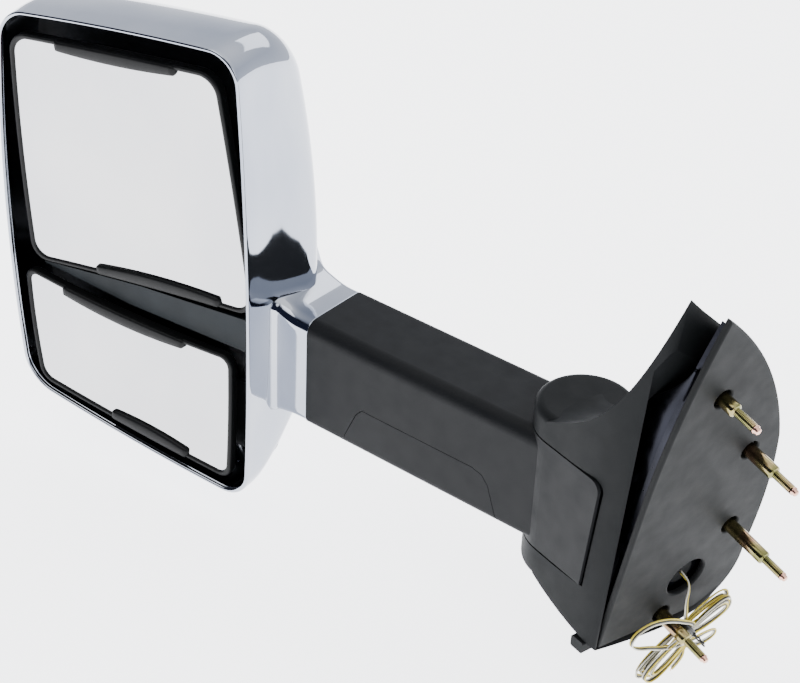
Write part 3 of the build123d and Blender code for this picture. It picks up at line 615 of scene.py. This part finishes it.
edge_line = smooth_line(FLANGE, 6)
rings = []
for n, spot in enumerate(edge_line):
    along = (edge_line[min(n + 1, len(edge_line) - 1)] - edge_line[max(n - 1, 0)]).normalized()
    across = Vector((-along.y, along.x))
    taper = max(0.12, min(1.0, n / 7, (len(edge_line) - 1 - n) / 7))
    rings.append([placed(DOOR, (spot.x + across.x * a, spot.y + across.y * a,
                                FLANGE_ROOT + (w - FLANGE_ROOT) * taper))
                  for a, w in FLANGE_SECTION])
verts, faces = ring_mesh(rings, True, True)
REAR_FLANGE = ((-60.5, -45), (-59, -20), (-57, 10), (-55, 45), (-52.4, 85), (-49.5, 118))
rear_line = smooth_line(REAR_FLANGE, 8)
rings = []
for n, spot in enumerate(rear_line):
    clear_of_arm = (-24.5 - 0.1736 * spot.y) / 0.985
    above_arm = min(max((spot.y - 8) / 14, 0), 1)
    under_sail = min(-43.0 + max(spot.y - 65, 0) * 0.44, -19.0)
    back = clear_of_arm + (under_sail - clear_of_arm) * above_arm
    back += (-13.5 - back) * min(max((spot.y - 62) / 56, 0), 1) ** 1.5
    section = ((-1.2, -11), (1.2, -11), (1.5, (back - 11) / 2), (1.2, back + 1), (0.5, back),
               (-0.5, back), (-1.2, back + 1), (-1.2, (back - 11) / 2))
    rings.append([placed(DOOR, (spot.x + k, spot.y, w)) for k, w in section])
add_mesh(verts, faces, ring_mesh(rings, True, True))
piece("casting_flanges", verts, faces, [CASTING], "base", ())


# ---- gasket: moulded pad with rolled edges all round and round its holes ----
def arc_points(a, b, c, count):
    """Points on the circle through three points, from the first towards the last."""
    a, b, c = Vector(a), Vector(b), Vector(c)
    d = 2 * (a.x * (b.y - c.y) + b.x * (c.y - a.y) + c.x * (a.y - b.y))
    aa, bb, cc = a.length_squared, b.length_squared, c.length_squared
    centre = Vector(((aa * (b.y - c.y) + bb * (c.y - a.y) + cc * (a.y - b.y)) / d,
                     (aa * (c.x - b.x) + bb * (a.x - c.x) + cc * (b.x - a.x)) / d))
    first, last = a - centre, c - centre
    sweep = atan2(first.x * last.y - first.y * last.x, first.dot(last))
    return [centre + Matrix.Rotation(sweep * n / count, 2) @ first for n in range(count)]


def straight(a, b, count):
    return [Vector(a).lerp(Vector(b), n / count) for n in range(count)]


gasket_line = arc_points((-44, 171), (26, 90), (63, 13), 30)
gasket_line += arc_points((63, 13), (74, -60), (72, -122), 22)
gasket_line += arc_points((72, -122), (65, -157), (46, -176), 14)
gasket_line += straight((46, -176), (-74, -165), 16)
gasket_line += straight((-74, -165), (-72, -20), 20)
gasket_line += arc_points((-72, -20), (-62.5, 88), (-44, 171), 26)
gasket_curve = bpy.data.curves.new("gasket_outline", "CURVE")
gasket_curve.dimensions = "2D"
gasket_curve.fill_mode = "BOTH"
gasket_curve.extrude, gasket_curve.bevel_depth, gasket_curve.bevel_resolution = 1.1, 1.7, 4
gasket_curve.offset = -1.7
holes = [(u, v, 8.3) for u, v, _ in STUDS] + [(8, -124, 18.7)]
HOLE_POINTS = 44
loops = [gasket_line]
for u, v, r in holes:
    angles = [2 * pi * k / HOLE_POINTS for k in range(HOLE_POINTS)]
    loops.append([Vector((u + r * cos(a), v + r * sin(a))) for a in angles])
for points in loops:
    spline = gasket_curve.splines.new("POLY")
    spline.points.add(len(points) - 1)
    spline.use_cyclic_u = True
    for spot, p in zip(spline.points, points):
        spot.co = (p.x, p.y, 0.0, 1.0)
gasket_object = bpy.data.objects.new("gasket_outline", gasket_curve)
pad = bpy.data.meshes.new_from_object(gasket_object)
bpy.data.objects.remove(gasket_object)
verts = [placed(DOOR, (v.co.x, v.co.y, v.co.z - 2.8)) for v in pad.vertices]
faces = [tuple(p.vertices) for p in pad.polygons]
gasket = piece("gasket_moulded", verts, faces, [RUBBER], "base", ("base_gasket",))
gasket.data.set_sharp_from_angle(angle=radians(35))


# ---- the wire: a three-conductor ribbon, tied in a hank on the lowest stud ----
TIE_AT = Vector((5.0, -167.0, 20.0))
LEAD = ((8, -124, -7), (8, -124, 2), (5, -126, 9), (-2, -133, 15), (-3, -145, 20), (0, -156, 20))
LOBE_TIPS = ((48.0, -149.0), (-33.0, -208.0))
TURNS = 6


def lobe_points(tip, half, level):
    """One strand out along a lobe, round its tip and back to the tie, in the door frame."""
    reach = Vector((tip[0] - TIE_AT.x, tip[1] - TIE_AT.y, 0))
    length = reach.length
    along = reach.normalized()
    across = Vector((-along.y, along.x, 0))
    table = ((0.06, 0.46), (0.30, 0.86), (0.60, 1.04), (0.84, 0.96), (0.99, 0.50))
    out = [TIE_AT + along * length * a + across * half * b for a, b in table]
    back = [TIE_AT + along * length * a - across * half * b for a, b in reversed(table)]
    points = out + back
    for p in points:
        p.z = level
    return points


route = [Vector(p) for p in LEAD]
for k in range(TURNS):
    layer, nest = divmod(k, 3)
    level = 16.6 + 6.6 * layer
    half = 6.4 + 2.9 * nest
    for which, tip in enumerate(LOBE_TIPS):
        centre = TIE_AT.to_2d()
        stretch = (0.86, 0.93, 1.0)[nest] * (1.0 - 0.035 * layer)
        tip_now = (centre.x + (tip[0] - centre.x) * stretch,
                   centre.y + (tip[1] - centre.y) * stretch)
        wave = 1.2 * sin(2.4 * k + which)
        for n, p in enumerate(lobe_points(tip_now, half, level)):
            p.z += wave * sin(pi * n / 9)
            route.append(p)
route += [Vector(p) for p in ((10, -158, 24), (-6, -148, 22), (-22, -139, 20), (-42, -133, 19),
                              (-58, -136, 19), (-63, -146, 20), (-54, -155, 21), (-38, -163, 21),
                              (-22, -172, 22), (-6, -176, 24), (10, -176, 25.5), (26, -178, 24),
                              (40, -184, 22), (44, -193, 21), (38, -199, 20), (26, -198, 20),
                              (14, -190, 20), (8, -190, 20), (8, -198, 22), (5, -206, 22),
                              (2, -213, 21))]

curve = bpy.data.curves.new("wire_route", "CURVE")
curve.dimensions = "3D"
curve.resolution_u = 8
spline = curve.splines.new("NURBS")
spline.points.add(len(route) - 1)
for spot, p in zip(spline.points, route):
    spot.co = (*placed(DOOR, p), 1.0)
spline.order_u = 3
spline.use_endpoint_u = True
route_object = bpy.data.objects.new("wire_route", curve)
line = bpy.data.meshes.new_from_object(route_object)
wire_path = [v.co.copy() for v in line.vertices]
bpy.data.objects.remove(route_object)

# place across the ribbon and radius of the yellow, black and white conductors
LANES = ((-0.00128, 0.00080), (0.00008, 0.00060), (0.00128, 0.00064))
verts, faces, indices = [], [], []
for lane, (gap, radius) in enumerate(LANES):
    def sideways(i, side, up, gap=gap):
        a = 0.9 + 0.035 * i
        return (side * cos(a) + up * sin(a)) * gap
    conductor = tube_mesh(wire_path, radius, 7, sideways)
    add_mesh(verts, faces, conductor)
    indices += [lane] * len(conductor[1])
wire = piece("wire_ribbon", verts, faces, [WIRE_YELLOW, WIRE_BLACK, WIRE_WHITE], "base",
             ("wire_lead", "wire_hank", "wire_tail"), indices)

# ---- the two bared copper strands at its end ----
STRAND_RADIUS = 0.0004
ends_v, ends_f = [], []
for shift in ((-0.9, 0.4), (1.0, -0.3)):
    tip = [placed(DOOR, (2 + shift[0] * t, -212.6 - 2.2 * t, 21 + shift[1] * t))
           for t in (0, 0.5, 1, 1.35)]
    add_mesh(ends_v, ends_f, tube_mesh(tip, STRAND_RADIUS, 6))
ends = piece("wire_ends", ends_v, ends_f, [COPPER], "base", ())


# ---- floor, light ----
bpy.ops.mesh.primitive_plane_add(size=14, location=(-0.3, -0.1, cad_box[0].z - 0.002))
floor = bpy.context.active_object
floor.name = "floor"
floor_mat, tree, shader = new_material("floor_pale")
floor_stops = ((0.3, (0.93, 0.93, 0.935)), (0.7, (0.95, 0.95, 0.95)))
floor_colour = ramp_node(tree, noise_node(tree, 3.0, 4.0), floor_stops)
tree.links.new(floor_colour, shader.inputs["Base Color"])
shader.inputs["Roughness"].default_value = 0.8
shader.inputs["Emission Color"].default_value = (0.96, 0.97, 1.0, 1.0)
shader.inputs["Emission Strength"].default_value = 3.4
floor.data.materials.append(floor_mat)

world = bpy.data.worlds.new("studio")
bpy.context.scene.world = world
world.use_nodes = True
tree = world.node_tree
background = tree.nodes["Background"]
coords = tree.nodes.new("ShaderNodeTexCoord")
split = tree.nodes.new("ShaderNodeSeparateXYZ")
tree.links.new(coords.outputs["Generated"], split.inputs[0])
sky = ramp_node(tree, split.outputs["Z"], ((0.0, (0.74, 0.77, 0.84)), (0.35, (0.62, 0.65, 0.72)),
                                           (0.7, (0.80, 0.82, 0.86)), (0.9, (1.0, 1.0, 1.0))))
behind = spread(tree, split.outputs["Y"], 0.0, 1.0, (-0.02, -0.30))
below_top = spread(tree, split.outputs["Z"], 1.0, 0.0, (0.72, 0.88))
dark = tree.nodes.new("ShaderNodeMath")
dark.operation = "MULTIPLY"
tree.links.new(behind, dark.inputs[0])
tree.links.new(below_top, dark.inputs[1])
mix = tree.nodes.new("ShaderNodeMix")
mix.data_type = "RGBA"
tree.links.new(dark.outputs[0], mix.inputs["Factor"])
tree.links.new(sky, mix.inputs[6])
mix.inputs[7].default_value = (0.012, 0.015, 0.030, 1.0)
tree.links.new(mix.outputs[2], background.inputs["Color"])
background.inputs["Strength"].default_value = 2.0


def softbox(name, place, target, size, watts):
    data = bpy.data.lights.new(name, "AREA")
    data.shape = "RECTANGLE"
    data.size, data.size_y = size
    data.energy = watts
    obj = bpy.data.objects.new(name, data)
    bpy.context.scene.collection.objects.link(obj)
    obj.location = place
    obj.rotation_euler = (Vector(target) - Vector(place)).to_track_quat("-Z", "Y").to_euler()


softbox("key", (-0.6, -1.2, 2.2), (-0.3, -0.1, 0), (1.8, 1.2), 11.0)
softbox("fill", (1.8, -0.4, 1.2), (-0.2, -0.1, 0), (1.2, 1.2), 8.0)
softbox("back", (-1.0, 1.8, 1.6), (-0.3, 0, 0), (1.6, 1.0), 14.0)
